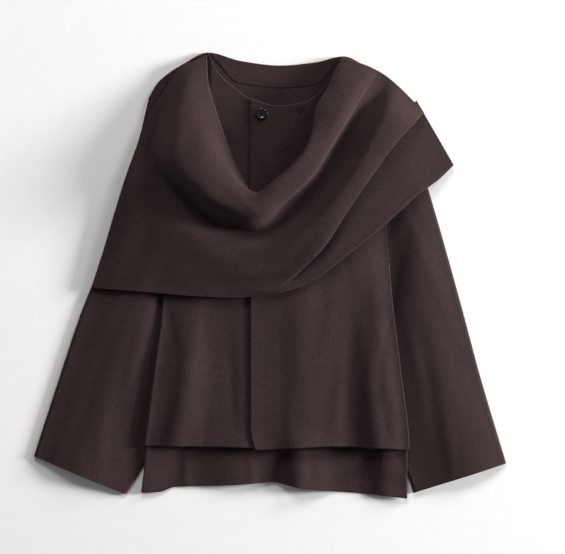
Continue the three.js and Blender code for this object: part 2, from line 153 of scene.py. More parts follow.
# Sections of the scarf: x, y and z of its raw inner edge, of the cowl roll's brim, crest, flank and foot,
# of the valley, the second roll, the pleat's fold and the hem, and last the pleat's depth
SCARF = [
    [(-98, 340, 9), (-119, 331, 11), (-138, 322, 12), (-158, 294, 11), (-169, 278, 10),
     (-180, 262, 9), (-219, 164, 13), (-257, 40, 12), (-276, -19, 10), 0],
    [(-95, 297, 16), (-129, 277, 29), (-159, 210, 37), (-167, 202, 33), (-174, 195, 24),
     (-183, 188, 15), (-204, 150, 21), (-222, 20, 20), (-223, -23, 19.5), 0],
    [(-85, 261, 19), (-115, 233, 39), (-146, 176, 51), (-152, 167, 45), (-158, 158, 31),
     (-165, 149, 18.5), (-186, 112, 25), (-176, 0, 24), (-170, -27, 23), 0],
    [(-71, 218, 21), (-97, 203, 47), (-116, 144, 60), (-119, 134, 54), (-122, 124, 38),
     (-127, 112, 19.5), (-142, 76, 31), (-118, -10, 28.5), (-108, -32, 26), 0],
    [(-53, 171, 22), (-66, 160, 53), (-80, 115, 65), (-83, 105, 58), (-86, 95, 41),
     (-89, 84, 22), (-92, 45, 36), (-56, -16, 30), (-42, -33, 25.5), 0],
    [(-14, 110, 24), (-22, 126, 60), (-19, 106, 64), (-18, 91, 58), (-17, 78, 38),
     (-17, 67, 25.5), (-14, 40, 39), (10, -10, 31.5), (20, -24, 28.5), 0],
    [(22, 128, 24), (8, 145, 64), (17, 131, 63), (22, 118, 53), (26, 111, 33),
     (38, 94, 25.5), (56, 70, 46), (72, 32, 42), (68, -6, 30.5), 8],
    [(60, 160, 24), (44, 178, 64), (56, 167, 61), (65, 158, 53), (69, 154, 34),
     (82, 140, 24.5), (103, 120, 49), (121, 103, 45), (134, 43, 30.5), 20],
    [(86, 198, 24), (63, 212, 60), (80, 203, 60), (90, 197, 52), (94, 194, 32),
     (109, 183, 22.5), (136, 167, 48), (157, 155, 45), (187, 87, 26.5), 26],
    [(100, 247, 21), (73, 260, 43), (106, 248, 56), (118, 243, 47), (122, 241, 29),
     (138, 234, 20.5), (165, 221, 44), (194, 205, 41), (230, 126, 20), 26],
    [(112, 287, 15), (88, 286, 31), (124, 277, 45), (136, 273, 38), (140, 271.5, 25),
     (160, 265, 18), (182, 256, 36), (219, 232, 32), (260, 148, 13), 24],
    [(120, 333, 8), (111, 337, 11), (150, 324, 17), (163, 318, 15), (169, 315, 12.5),
     (180, 308, 11), (201, 290, 13), (237, 253, 15), (284, 171, 7), 20],
]
SCARF_LENGTH, SCARF_WIDTH = 640, 330
# The pleat below its fold: how it turns under, how far the hidden fold lies below the hem, and at which
# share of the way to the hem the lower layer comes out and how far it lies below the hem there.
# flat: the shares at which the three lines lie where there is no pleat
PLEAT = {"turn_in": 2.5, "turn_down": 5, "tucked_below": 4, "shelf_at": 0.35, "shelf_below": 1.5,
         "flat": (0.25, 0.5, 0.75)}

# How finely each piece is divided: rows down or along it, and steps across it from knot to knot
MESH_STEPS = {
    "back_panel": (200, [30, 60, 30]),
    "back_neck_facing": (14, [70]),
    "right_front": (190, [34, 46]),
    "left_front": (240, [76, 34]),
    "sleeve": (110, 44),
    "scarf": (220, [10, 10, 8, 8, 8, 12, 12, 4, 9, 8, 8]),
}

# Finer creases: middle, angle from +X in degrees, half length, half width and height.
# They come in over CREASE_FADE from a panel's sides and top, and on the scarf where it faces up this much
CREASE_FADE = 25
CREASE_FACING = 0.4
SCARF_CREASES = table("x y turn length width height", [
    (-204, 40, 62, 40, 15, -1.6), (-184, 18, 64, 46, 14, 1.0), (-232, 60, 62, 60, 12, 0.9),
    (-196, 150, 58, 52, 12, 1.8), (-172, 235, 62, 46, 9, -1.6), (-140, 212, 58, 55, 10, 1.2),
    (-88, 45, -14, 60, 10, -1.2), (-20, 4, 4, 70, 8, 1.3), (48, 40, 44, 46, 9, -1.2),
    (84, 112, 52, 55, 8, 1.2), (118, 168, 54, 50, 7, -1.0), (150, 205, 56, 46, 8, 1.0),
    (96, 40, 38, 60, 9, 0.9), (170, 118, 46, 48, 8, -0.9), (222, 172, 40, 42, 9, 0.8),
    (106, 232, 62, 40, 7, 1.0), (-45, 118, -42, 38, 6, 0.9), (8, 110, 12, 34, 6, -0.8),
    (-120, 8, 10, 52, 11, 1.1), (-60, -12, 2, 44, 8, -0.9),
])
FRONT_CREASES = table("x y turn length width height", [
    (-118, -120, 84, 90, 12, 1.2), (-60, -170, 93, 80, 9, -1.1), (-158, -200, 80, 60, 10, -0.9),
    (18, -130, 91, 110, 13, -0.7), (88, -90, 80, 90, 12, 1.0), (104, -200, 84, 70, 10, 1.3),
    (142, -160, 83, 84, 8, -0.6), (176, -190, 80, 80, 9, 0.6), (190, -60, 78, 70, 8, -0.8),
    (30, -228, 87, 44, 9, 0.9), (-100, -232, 88, 40, 9, -0.8), (62, 220, 24, 40, 9, 0.8),
    (-62, 226, 142, 34, 8, 0.9), (40, 150, 70, 60, 11, -1.0),
])
BACK_CREASES = table("x y turn length width height", [
    (10, -300, 92, 52, 12, -1.0), (-130, -305, 88, 44, 8, 1.4), (-28, -310, 94, 40, 7, 1.5),
    (52, -305, 92, 44, 8, 1.2), (140, -315, 88, 40, 10, -1.0), (170, -300, 86, 44, 8, 1.1),
])
SLEEVE_CREASES = {
    "right_sleeve": table("x y turn length width height", [
        (-250, -60, 64, 90, 13, 1.6), (-284, -190, 70, 90, 14, -1.5), (-318, -240, 68, 70, 11, 1.3),
        (-222, 60, 62, 60, 10, -1.2), (-232, -190, 80, 80, 12, -1.0), (-262, -270, 84, 50, 11, 1.1),
        (-205, -110, 74, 70, 9, 1.2),
    ]),
    "left_sleeve": table("x y turn length width height", [
        (262, -20, 110, 90, 12, 1.4), (300, -150, 112, 100, 14, -1.4), (330, -230, 110, 80, 10, 1.5),
        (226, 90, 112, 60, 9, -1.0), (248, -190, 98, 90, 12, -1.7), (276, -270, 96, 50, 10, 1.2),
        (222, -120, 104, 70, 9, 1.0),
    ]),
}

NOTCH_SHADE_CORNERS = [(38.5, 260), (55, 260), (47, 247)]  # corners of the small painted shade below the neckline
NOTCH_SHADE_SOFT = 2.2  # how softly it ends

# Stitching: along the fronts' neckline, and along the short seams below it
NECK_STITCHES = {"start": -88, "stop": 106, "inward": 6.0}
RIGHT_FRONT_SEAM = [(-86, 271), (-71, 258), (-57, 250), (-40, 245)]
LEFT_FRONT_SEAM = [(50, 247), (60, 242), (74, 243)]
STITCH = {"pitch": 3.4, "length": 2.3, "thick": 0.4, "sides": 8}
STITCH_RINGS = [(-0.38, 0.7), (0.0, 1.0), (0.38, 0.7)]  # where along a stitch and how thick, as shares
LINE_STEPS = 160
PROBE = 0.5  # how far to each side a line's direction is measured
ABOVE = 200  # a height above all cloth

# The button, and its turned profile from the base over the rim: how far inside its radius and below its top
BUTTON = {"x": -13, "y": 250, "radius": 8.8, "height": 3.6, "dish": 1.4, "sides": 64}
BUTTON_RINGS = [
    (1.6, 3.6), (0.4, 3.1), (0.0, 2.2), (0.2, 0.8), (0.9, 0.1), (1.8, 0.0), (2.6, 0.35), (3.4, 0.9),
    (5.5, 1.3),
]

# Grain of the wool in millimetres. Its nap, near half a millimetre, is too fine to show and is drawn coarser
NAP, TUFTS, MOTTLE = 1.7, 8, 50
TUFTS_SHARE, MOTTLE_SHARE = 0.25, 0.15

# Camera and frame of the picture
PIXEL = 1.55  # millimetres
FRAME_PIXELS = (565, 554)
ORIGIN_PIXEL = (270, 275.5)
CAMERA_HEIGHT = 5.0
SENSOR = 36.0

# The studio in metres: the floor, the even fill, and each lamp's name, place, size and power
FLOOR_HALF, FLOOR_Z = 6.0, -0.0003
FILL = 0.17
LAMPS = [
    ("key_light", (5.76, 0.61, 1.55), 1.3, 650),
    ("upper_light", (3.82, 4.24, 1.85), 1.6, 175),
    ("top_light", (-0.7, 5.4, 4.0), 2.4, 185),
]


def lerp(a, b, t):
    return a + (b - a) * t


def ramp(x):
    x = np.clip(x, 0, 1)
    return x * x * (3 - 2 * x)


def hump(x, width):
    return np.exp(-((x / width) ** 2))


def through(rows, across, value):
    """A smooth curve through a table's rows, level past its ends."""
    order = np.argsort(rows[across])
    xs, ys = rows[across][order], rows[value][order]
    steps = np.diff(xs)
    slopes = np.diff(ys) / steps
    before, after = slopes[:-1], slopes[1:]
    same = before * after > 0
    inner = np.where(same, 2 * before * after / np.where(same, before + after, 1), 0)
    tangents = np.concatenate([slopes[:1], inner, slopes[-1:]])

    def curve(x):
        x = np.clip(x, xs[0], xs[-1])
        k = np.clip(np.searchsorted(xs, x, side="right") - 1, 0, len(steps) - 1)
        t = (x - xs[k]) / steps[k]
        rise = tangents[k] * steps[k] * t * (1 - t) ** 2 - tangents[k + 1] * steps[k] * t * t * (1 - t)
        return ys[k] * (1 + 2 * t) * (1 - t) ** 2 + ys[k + 1] * t * t * (3 - 2 * t) + rise

    return curve


side = {name: through(SIDES, "y", name) for name in ("right", "left")}
back_top = through(BACK_TOP, "x", "y")
front_neck = through(FRONT_NECK, "x", "y")
back_hem = through(BACK_HEM, "x", "y")
front_hem = through(FRONT_HEM, "x", "y")
underlap = through(UNDERLAP, "y", "reach")


def folds(waves, x):
    return sum(h * hump(x - at, w) for at, h, w in zip(waves["x"], waves["height"], waves["width"]))


def inset(x, y):
    """How far a point of the body lies inside its nearer side."""
    return np.where(x < MIDDLE, x - side["right"](y), side["left"](y) - x)


def down(y, stretch):
    """How far down a stretch a height lies, eased, from 0 above it to 1 below it."""
    start, length = stretch
    return ramp((start - y) / length)


def back_height(x, y):
    """Underside of the back: on the surface, over the sleeves at its sides, and waved at the hem."""
    over = underlap(np.where(x < MIDDLE, y - SLEEVES["right_sleeve"]["shift"], y)) - inset(x, y)
    raised = OVER_SLEEVE["rise"] * ramp(1 + over / OVER_SLEEVE["blend"])
    raised = raised + OVER_SLEEVE["slope"] * np.maximum(0, over)
    settled = 1 - OVER_SLEEVE["settle"] * down(y, CUFFS_STRETCH)
    waved = folds(BACK_WAVES, x) * down(y, HEM_WAVES_STRETCH)
    return down(y, OVER_SLEEVES_STRETCH) * settled * raised + waved


def front_height(x, y):
    """Underside of the lower front layer: on the back at its seams, lofted between them."""
    shoulder = back_top(x) + np.where((x < NECK_RIGHT) | (x > NECK_LEFT), 0, LOFT["neck"])
    from_seams = ramp(inset(x, y) / LOFT["sides"]) * ramp((shoulder - y) / LOFT["shoulders"])
    loft = LOFT["height"] * lerp(LOFT["share"], 1, down(y, LOFT_STRETCH))
    folded = folds(FRONT_FOLDS, x) * down(y, FOLDS_STRETCH)
    ridge = FRONT_RIM["height"] * hump(inset(x, y) - FRONT_RIM["inside"], FRONT_RIM["width"])
    rim = np.where(x > MIDDLE, ridge, 0) * down(y, FOLDS_STRETCH)
    return back_height(x, y) + CLOTH + REST + from_seams * (loft + folded) + rim


def lap_height(x, y):
    """Underside of the lapping front, which steps over the edge of the front below it."""
    past = ramp((x - LAP_UNDER - LAP_CLEAR) / LAP_BLEND)
    return front_height(x, y) + (CLOTH + REST) * (1 - past)


def creased(creases, x, y):
    """Soft long ridges (height above 0) and troughs (below 0), each turned by its own angle."""
    total = np.zeros(np.broadcast(x, y).shape)
    for k in range(len(creases["x"])):
        turn = math.radians(creases["turn"][k])
        dx, dy = x - creases["x"][k], y - creases["y"][k]
        along = dx * math.cos(turn) + dy * math.sin(turn)
        across = dy * math.cos(turn) - dx * math.sin(turn)
        shape = creases["height"][k] * hump(along, creases["length"][k])
        total = total + shape * hump(across, creases["width"][k])
    return total


def made_mesh(name, points, faces, finish):
    """A piece from points in millimetres and lists of their numbers."""
    mesh = bpy.data.meshes.new(name)
    mesh.from_pydata((np.asarray(points) * MM).tolist(), [], faces)
    mesh.materials.append(finish)
    mesh.polygons.foreach_set("use_smooth", np.ones(len(mesh.polygons), bool))
    mesh.update()
    piece = bpy.data.objects.new(name, mesh)
    bpy.context.scene.collection.objects.link(piece)
    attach(piece, "root")
    return piece


def spindle_faces(rings, sides, start=0):
    """Faces of a closed round shape: its rings of points come one after the other, then its two ends."""
    first, last = start + rings * sides, start + rings * sides + 1
    top = start + (rings - 1) * sides
    faces = []
    for j in range(sides):
        n = (j + 1) % sides
        faces += [(a + j, a + n, a + sides + n, a + sides + j) for a in range(start, top, sides)]
        faces += [(first, start + n, start + j), (last, top + j, top + n)]
    return faces


def grid_faces(rows, columns, start=0, turned=False):
    """Quads of a grid of points, turned over for an underside."""
    i, j = np.meshgrid(np.arange(rows - 1), np.arange(columns - 1), indexing="ij")
    a = (start + i * columns + j).ravel()
    quads = np.stack([a, a + columns, a + columns + 1, a + 1], 1)
    return quads[:, ::-1] if turned else quads


def bordered(values, width):
    """Stations from 0 to 1 with two more close to each end, to shape the raw edges."""
    near = np.array(EDGE_STEPS) / width
    clear = near[-1] * EDGE_CLEAR
    inside = values[(values > clear) & (values < 1 - clear)]
    return np.concatenate([[0], near, inside, 1 - near[::-1], [1]])


def cloth(name, middle, normals, thick, finish, fray_and_highlight=(1, 1, 1, 1)):
    """A panel's closed shell about its middle surface, with raw edges that swell a little and are rounded.

    The last argument says how pale the frayed nap and its painted highlight are at its top, hem, first side
    and last side.
    """
    rows, columns = middle.shape[:2]
    count = rows * columns
    i, j = np.meshgrid(np.arange(rows), np.arange(columns), indexing="ij")
    from_border = np.minimum(np.minimum(i, rows - 1 - i), np.minimum(j, columns - 1 - j))
    over = np.choose(np.minimum(from_border, 2), EDGE_OVER) * thick / 2
    under = np.choose(np.minimum(from_border, 2), EDGE_UNDER) * thick / 2
    upper = middle + normals * over[:, :, None]
    lower = middle - normals * under[:, :, None]
    index = np.arange(count).reshape(rows, columns)
    loop = np.concatenate([index[0, :-1], index[:-1, -1], index[-1, :0:-1], index[:0:-1, 0]])
    nearest = np.pad(index[1:-1, 1:-1], 1, mode="edge").ravel()[loop]
    centre = middle.reshape(count, 3)
    outward = centre[loop] - centre[nearest]
    outward /= np.linalg.norm(outward, axis=1)[:, None]
    rim = centre[loop] + outward * EDGE_ROUND
    points = np.concatenate([upper.reshape(count, 3), lower.reshape(count, 3), rim])
    ring = 2 * count + np.arange(len(loop))
    after, ring_after = np.roll(loop, -1), np.roll(ring, -1)
    faces = np.concatenate([
        grid_faces(rows, columns),
        grid_faces(rows, columns, count, turned=True),
        np.stack([loop, after, ring_after, ring], 1),
        np.stack([ring, ring_after, count + after, count + loop], 1),
    ])
    piece = made_mesh(name, points, faces.tolist(), finish)
    # Edges get a paler nap with a painted highlight, standing for light caught by the fuzz on raw edges.
    paled_and_highlit = np.zeros((rows, columns))
    for k in (1, 0):
        top, hem, first, last = np.array(fray_and_highlight) * EDGE_FRAY_HIGHLIGHT[k]
        paled_and_highlit[k, :], paled_and_highlit[rows - 1 - k, :] = top, hem
        paled_and_highlit[k:rows - k, k], paled_and_highlit[k:rows - k, columns - 1 - k] = first, last
    paled_and_highlit = paled_and_highlit.ravel()
    marked(piece, "fray_highlight_edge", np.concatenate([paled_and_highlit, paled_and_highlit, paled_and_highlit[loop]]))
    return piece


def marked(piece, mark, values):
    """Gives each point of a piece a value for its finish to read."""
    attribute = piece.data.attributes.new(mark, "FLOAT", "POINT")
    attribute.data.foreach_set("value", values.astype(np.float32))


def stations(knots, counts):
    """Shares from 0 to 1, with a count of even steps up to each knot and from the last one on."""
    ends = [0, *knots, 1]
    made = [np.linspace(ends[k], ends[k + 1], n, endpoint=False) for k, n in enumerate(counts)]
    return np.concatenate([*made, [1]])


def panel(
    name, right, left, top, hem, across, rows, height, finish,
    thick=CLOTH, creases=None, fray_and_highlight=(0.4, 0.3, 0, 0),
):
    """A body panel between curves for its sides, top and hem, with its underside at a height."""
    across = bordered(across, left(SHOULDER_Y) - right(SHOULDER_Y))
    y_top = top(lerp(right(SHOULDER_Y), left(SHOULDER_Y), across))
    y_hem = hem(lerp(right(HEM_Y), left(HEM_Y), across))
    length = np.median(y_top - y_hem)
    y = lerp(y_top, y_hem, bordered(np.linspace(0, 1, rows + 1), length)[:, None])
    x = lerp(right(y), left(y), across)
    z = height(x, y) + thick / 2
    if creases is not None:
        held = ramp(inset(x, y) / CREASE_FADE) * ramp((y_top - y) / CREASE_FADE)
        z = z + creased(creases, x, y) * held
    middle = np.stack([x, y, z], 2)
    normals = np.zeros_like(middle)
    normals[:, :, 2] = 1
    return cloth(name, middle, normals, thick, finish, fray_and_highlight)


def straight(x):
    """A side that runs straight down the garment."""
    return lambda y: x + 0 * y


def back_panel(finish):
    rows, steps = MESH_STEPS["back_panel"]

    def right(y):
        return side["right"](y) + BACK_INSET * down(y, BACK_INSET_STRETCH)

    def left(y):
        return side["left"](y) - BACK_INSET * down(y, BACK_INSET_STRETCH)

    width = left(SHOULDER_Y) - right(SHOULDER_Y)
    knots = [(x - right(SHOULDER_Y)) / width for x in (NECK_RIGHT, NECK_LEFT)]
    across = stations(knots, steps)
    return panel(
        "back_cloth", right, left, back_top, back_hem, across, rows, back_height, finish,
        creases=BACK_CREASES, fray_and_highlight=(0, 0.3, 0, 0),
    )


def neck_facing(finish):
    rows, steps = MESH_STEPS["back_neck_facing"]
    ends, depth = NECK_FACING["ends"], NECK_FACING["depth"]

    def low(x):
        near = ramp(np.minimum(x - NECK_RIGHT, NECK_LEFT - x) / NECK_FACING["fade"])
        return back_top(x) - ends - (depth - ends) * near

    return panel(
        "neck_facing_cloth",
        straight(NECK_RIGHT + ends),
        straight(NECK_LEFT - ends),
        lambda x: back_top(x) - NECK_FACING["below"],
        low,
        stations([], steps),
        rows,
        lambda x, y: back_height(x, y) + CLOTH + NECK_FACING["lift"],
        finish,
        thick=NECK_FACING["thick"],
        fray_and_highlight=(0, 0, 0, 0),
    )


def front_top(x):
    """The fronts' upper edge: the shoulders, and the neckline between them."""
    return np.where((x < NECK_RIGHT) | (x > NECK_LEFT), back_top(x), front_neck(x))


def right_front(finish):
    rows, steps = MESH_STEPS["right_front"]
    right = side["right"]
    knot = (NECK_RIGHT - right(SHOULDER_Y)) / (LAP_UNDER - right(SHOULDER_Y))
    drop, length = LAP_HIDDEN["drop"], LAP_HIDDEN["length"]
    return panel(
        "right_front_cloth",
        right,
        straight(LAP_UNDER),
        lambda x: front_top(x) - drop * ramp((x - LAP_EDGE + length) / length),
        front_hem,
        stations([knot], steps),
        rows,
        front_height,
        finish,
        creases=FRONT_CREASES,
    )


def painted_notch_shade(piece, corners, soft):
    """Marks a soft triangle, with corners at x and y, where painted shade makes the cloth darker."""
    points = np.empty(len(piece.data.vertices) * 3)
    piece.data.vertices.foreach_get("co", points)
    x, y, _ = (points.reshape(-1, 3) / MM).T
    inside = np.full(len(x), np.inf)
    for k, (ax, ay) in enumerate(corners):
        bx, by = corners[(k + 1) % 3]
        side_of = ((x - ax) * (by - ay) - (y - ay) * (bx - ax)) / math.hypot(bx - ax, by - ay)
        inside = np.minimum(inside, side_of)
    marked(piece, "painted_notch_shade", ramp((inside + soft) / (2 * soft)))


def left_front(finish):
    rows, steps = MESH_STEPS["left_front"]

    def right(y):
        bent = np.clip((LAP_CORNER["from"] - y) / LAP_CORNER["length"], 0, 1) ** 2
        return LAP_EDGE + LAP_CORNER["inward"] * bent

    left = side["left"]
    knot = (NECK_LEFT - LAP_EDGE) / (left(SHOULDER_Y) - LAP_EDGE)
    across = stations([knot], steps)
    piece = panel(
        "left_front_cloth", right, left, front_top, front_hem, across, rows, lap_height, finish,
        creases=FRONT_CREASES, fray_and_highlight=(0.4, 0.3, 0.2, 0),
    )
    # Paints a small soft shade below the neckline.
    painted_notch_shade(piece, NOTCH_SHADE_CORNERS, NOTCH_SHADE_SOFT)
    return piece


def sleeve(name, finish):
    """A flattened tube, folded along its outer and inner edges and open at both ends."""
    cut = SLEEVES[name]
    out, shift, cuff, edge = cut["out"], cut["shift"], cut["cuff"], cut["edge"]
    rows, columns = MESH_STEPS["sleeve"]
    outer = through(edge, "y", "x")
    last_reach = UNDERLAP["y"][-1] + shift
    t = bordered(np.linspace(0, 1, rows + 1), SLEEVE_LENGTH)[:, None]
    rows = len(t) - 1
    ends = edge["y"][0], edge["y"][-1]

    def body_side(y):
        return side[cut["side"]](y) + out * SEAM

    def under_body(y):
        return body_side(y) - out * (np.maximum(0, underlap(y - shift)) - 1)

    y_in = lerp(UNDERARM_Y, cuff[1], t)
    free = (last_reach - y_in) / (last_reach - cuff[1])
    x_in = np.where(free > 0, lerp(under_body(last_reach), cuff[0], free), under_body(y_in))
    y_out = lerp(ends[0], ends[1], t)
    x_out = outer(y_out)
    width = np.hypot(x_in - x_out, y_in - y_out)

    def ring(depth):
        """The tube's points at a depth below its outer face: along the underside and back over the top."""
        rim = (depth + CLOTH) / width
        spread = np.linspace(0, 1, columns + 1)[None, :]
        flat = lerp(rim, 1 - rim, spread)
        tip = depth / width
        s = np.concatenate([tip, flat, 1 - tip, flat[:, ::-1]], 1)
        y_seam = lerp(ends[0], UNDERARM_Y, s)
        seam_x = body_side(y_seam) + out * SEAM - lerp(x_out[0], x_in[0], s)
        seam_y = y_seam - lerp(y_out[0], y_in[0], s)
        x = lerp(x_out, x_in, s) + seam_x * (1 - t) ** 2
        y = lerp(y_out, y_in, s) + seam_y * (1 - t) ** 2
        loft = SLEEVE_LOFT * ramp(t / SLEEVE_CROWN)
        arch = np.abs(np.sin(np.pi * np.clip(s, 0, 1) ** cut["lean"])) ** SLEEVE_PEAK
        high = SLEEVE_FOLD + loft * arch - depth + creased(SLEEVE_CREASES[name], x, y) * arch
        z = np.full_like(x, depth)
        z[:, 0] = z[:, columns + 2] = SLEEVE_FOLD / 2
        z[:, columns + 3:] = high[:, columns + 3:]
        return np.stack([x, y, z], 2)

    outside, inside = ring(0), ring(CLOTH)
    count = outside.shape[1]
    closed = [np.concatenate([grid, grid[:, :1]], 1) for grid in (outside, inside)]
    index = np.arange((rows + 1) * count).reshape(rows + 1, count)
    index = np.concatenate([index, index[:, :1]], 1)
    size = (rows + 1) * count

    def wall(a, turned):
        quads = np.stack([a[:-1, :-1], a[1:, :-1], a[1:, 1:], a[:-1, 1:]], 2).reshape(-1, 4)
        return quads[:, ::-1] if turned else quads

    def end(row, turned):
        before, after = index[row, :-1], index[row, 1:]
        quads = np.stack([before, after, after + size, before + size], 1)
        return quads[:, ::-1] if turned else quads

    left = out > 0
    walls = [wall(index, not left), wall(index + size, left)]
    faces = np.concatenate([*walls, end(0, not left), end(rows, left)])
    points = np.concatenate([closed[0][:, :-1].reshape(-1, 3), closed[1][:, :-1].reshape(-1, 3)])
    piece = made_mesh(name + "_cloth", points, faces.tolist(), finish)
    # The cuff's raw edge gets a paler nap with a painted highlight.
    paled_and_highlit = np.zeros((rows + 1, count))
    paled_and_highlit[-1], paled_and_highlit[-2] = CUFF_FRAY_HIGHLIGHT
    marked(piece, "fray_highlight_edge", np.tile(paled_and_highlit.ravel(), 2))
    return piece


def rounded(points, at):
    """Centripetal curves through points (..., n, 3), read at parameters from 0 to 1."""
    count = points.shape[-2]
    first = 2 * points[..., :1, :] - points[..., 1:2, :]
    last = 2 * points[..., -1:, :] - points[..., -2:-1, :]
    padded = np.concatenate([first, points, last], -2)
    place = np.asarray(at) * (count - 1)
    k = np.clip(np.floor(place).astype(int), 0, count - 2)
    t = (place - k)[:, None]
    p = [padded[..., k + i, :] for i in range(4)]
    steps = [np.linalg.norm(p[i + 1] - p[i], axis=-1, keepdims=True) for i in range(3)]
    gap = [np.maximum(step, 1e-6) ** 0.5 for step in steps]
    leaving = ((p[1] - p[0]) / gap[0] - (p[2] - p[0]) / (gap[0] + gap[1]) + (p[2] - p[1]) / gap[1]) * gap[1]
    arriving = ((p[2] - p[1]) / gap[1] - (p[3] - p[1]) / (gap[1] + gap[2]) + (p[3] - p[2]) / gap[2]) * gap[1]
    return (
        p[1] * (2 * t**3 - 3 * t**2 + 1) + p[2] * (3 * t**2 - 2 * t**3)
        + leaving * (t**3 - 2 * t**2 + t) + arriving * (t**3 - t**2)
    )


def scarf_lines():
    """The scarf's sections as points, with the pleat's hidden fold worked out from its depth."""
    sections = []
    for *lines, tuck in SCARF:
        lines = np.array(lines, float)
        pleat, hem = lines[-2], lines[-1]
        turned, tucked, shelf = (lerp(pleat, hem, share) for share in PLEAT["flat"])
        if tuck:
            inward = (pleat - hem) * (1, 1, 0)
            inward /= np.linalg.norm(inward)
            turned = pleat + inward * PLEAT["turn_in"] - (0, 0, PLEAT["turn_down"])
            tucked = pleat + inward * tuck
            shelf = lerp(pleat, hem, PLEAT["shelf_at"])
            tucked[2] = hem[2] - PLEAT["tucked_below"]
            shelf[2] = hem[2] - PLEAT["shelf_below"]
        sections.append(np.concatenate([lines[:-1], [turned, tucked, shelf, hem]]))
    return np.array(sections)


def surface_normals(middle):
    normals = np.cross(np.gradient(middle, axis=0), np.gradient(middle, axis=1))
    return normals / np.linalg.norm(normals, axis=2)[:, :, None]


def scarf(finish):
    rows, steps = MESH_STEPS["scarf"]
    across = np.concatenate([(k + np.arange(n) / n) / len(steps) for k, n in enumerate(steps)] + [[1]])
    sections = rounded(scarf_lines(), bordered(across, SCARF_WIDTH))
    middle = rounded(sections.swapaxes(0, 1), bordered(np.linspace(0, 1, rows + 1), SCARF_LENGTH))
    normals = surface_normals(middle)
    bent = creased(SCARF_CREASES, middle[:, :, 0], middle[:, :, 1])
    seen = ramp(normals[:, :, 2] / CREASE_FACING)
    middle = middle + normals * (bent * seen)[:, :, None]
    return cloth("scarf_drape", middle, surface_normals(middle), CLOTH, finish, fray_and_highlight=(0.5, 0.3, 0.3, 0.3))


def sewing(name, line, pieces, finish):
    """Small sunk stitches along a line of x and y, laid on whichever of the pieces lies on top there."""
    trees = []
    for piece in pieces:
        corners = [vertex.co for vertex in piece.data.vertices]
        trees.append(BVHTree.FromPolygons(corners, [face.vertices for face in piece.data.polygons]))
    line = np.array(line, float)
    steps = np.hypot(*np.diff(line, axis=0).T)
    run = np.concatenate([[0], np.cumsum(steps)])
    at = np.arange(STITCH["pitch"] / 2, run[-1], STITCH["pitch"])
    before, here, after = (
        np.stack([np.interp(at + shift, run, line[:, k]) for k in (0, 1)], 1) for shift in (-PROBE, 0, PROBE)
    )
    turns = np.linspace(0, 2 * np.pi, STITCH["sides"], endpoint=False)
    points, faces = [], []
    for (x, y), (dx, dy) in zip(here, after - before):
        hits = [tree.ray_cast(Vector((x, y, ABOVE)) * MM, Vector((0, 0, -1)))[0] for tree in trees]
        high = max((hit.z / MM for hit in hits if hit), default=None)
        if high is None:
            continue
        centre = np.array([x, y, high])
        along = np.array([dx, dy, 0]) / math.hypot(dx, dy)
        beside = np.array([-along[1], along[0], 0])
        faces += spindle_faces(len(STITCH_RINGS), STITCH["sides"], len(points))
        for share, wide in STITCH_RINGS:
            half = STITCH["thick"] / 2 * wide
            middle = centre + along * share * STITCH["length"]
            points += [middle + beside * half * math.cos(t) + (0, 0, half * math.sin(t)) for t in turns]
        points += [centre - along * STITCH["length"] / 2, centre + along * STITCH["length"] / 2]
    return made_mesh(name, points, faces, finish)


def offset_line(curve, start, stop, inward):
    """The part of a curve between two x, moved down by a distance across it."""
    x = np.linspace(start, stop, LINE_STEPS)
    slope = (curve(x + PROBE) - curve(x - PROBE)) / (2 * PROBE)
    scale = inward / np.hypot(1, slope)
    return np.stack([x + slope * scale, curve(x) - scale], 1)


def button(finish):
    """A round button with a raised rim and a dished middle."""
    x, y, sides = BUTTON["x"], BUTTON["y"], BUTTON["sides"]
    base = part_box("button")[0].z / MM
    top = base + BUTTON["height"]
    points = []
    for inside, below in BUTTON_RINGS:
        radius = BUTTON["radius"] - inside
        for turn in np.linspace(0, 2 * np.pi, sides, endpoint=False):
            points.append((x + radius * math.cos(turn), y + radius * math.sin(turn), top - below))
    points += [(x, y, base), (x, y, top - BUTTON["dish"])]
    return made_mesh("sewn_button", points, spindle_faces(len(BUTTON_RINGS), sides), finish)


def linear(hexadecimal):
    """An sRGB hex colour as linear red, green, blue and alpha."""
    parts = [int(hexadecimal[i:i + 2], 16) / 255 for i in (1, 3, 5)]
    return [p / 12.92 if p <= 0.04045 else ((p + 0.055) / 1.055) ** 2.4 for p in parts] + [1.0]


def grains(size):
    """Scale of a noise whose grain has a size in millimetres."""
    return 1 / (size * MM)


def add(tree, kind, links=None, **settings):
    """Adds a node, sets its properties or its inputs by name, and links its inputs."""
    node = tree.nodes.new(kind)
    for key, value in settings.items():
        socket = node.inputs.get(key.replace("_", " ").title()) or node.inputs.get(key)
        if hasattr(node, key):
            setattr(node, key, value)
        else:
            socket.default_value = value
    for key, output in (links or {}).items():
        tree.links.new(output, node.inputs[key])
    return node


def weighted(tree, first, second, share):
    """The first value plus a share of the second."""
    node = add(tree, "ShaderNodeMath", {0: second, 2: first}, operation="MULTIPLY_ADD")
    node.inputs[1].default_value = share
    return node.outputs[0]


def finish_named(name):
    finish = bpy.data.materials.new(name)
    finish.use_nodes = True
    finish.node_tree.nodes.clear()
    return finish, finish.node_tree


